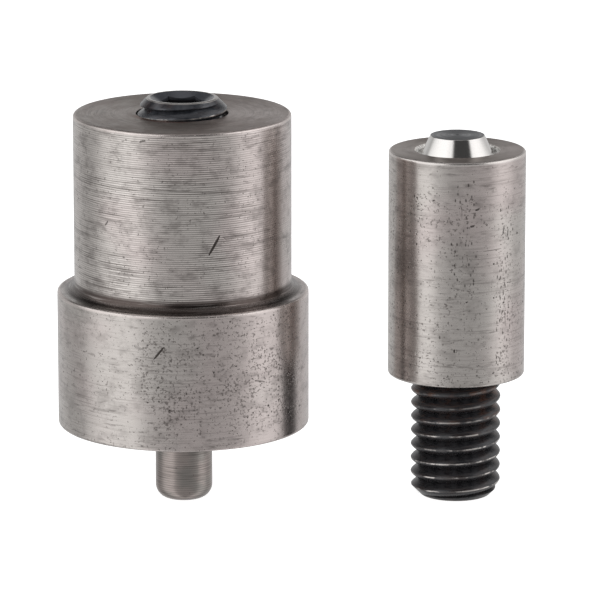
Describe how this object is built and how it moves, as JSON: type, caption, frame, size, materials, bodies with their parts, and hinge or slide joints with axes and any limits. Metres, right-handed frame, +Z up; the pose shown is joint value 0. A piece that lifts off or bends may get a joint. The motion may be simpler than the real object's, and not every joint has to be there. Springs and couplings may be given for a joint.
{
  "type": "grommet die set",
  "caption": "Two-piece turned steel die set for hand-press grommets: a stepped holder die with a sprung pilot pin, and a curling die with a polished cone on a threaded stud.",
  "frame": {"origin": "centre of the set's bounding box on the surface that both dies stand on, level with the pilot pin's tip and the stud's free end", "axes": "+Z up along both dies' turning axes, away from the pilot tip; +X from the holder die to the curling die; +Y away from the viewer of the picture"},
  "size_m": [0.041, 0.022, 0.0359],
  "materials": {
    "turned_steel": "bare steel, fine turned and lightly pitted",
    "pilot_steel": "bare steel, fine turned, satin",
    "spring_wire": "drawn spring wire",
    "black_oxide_steel": "black oxide, lightly oiled"
  },
  "bodies": {
    "holder": {"holder_body": "turned_steel", "spring_set_screw": "black_oxide_steel", "pilot_spring": "spring_wire"},
    "pilot": {"pilot_pin": "pilot_steel"},
    "curling_die": {"curling_die_body": "turned_steel", "mounting_stud": "black_oxide_steel"}
  },
  "joints": [
    {"name": "pilot_slide", "type": "slide", "parent": "holder", "child": "pilot", "axis": [0, 0, 1], "range_m": [0, 0.006], "stiffness_N_per_m": 2700, "springref_m": -0.0026, "deforming": ["pilot_spring"]},
    {"name": "curling_die_lift", "type": "slide", "parent": "holder", "child": "curling_die", "axis": [0, 0, 1], "range_m": [0, 0.04]}
  ]
}
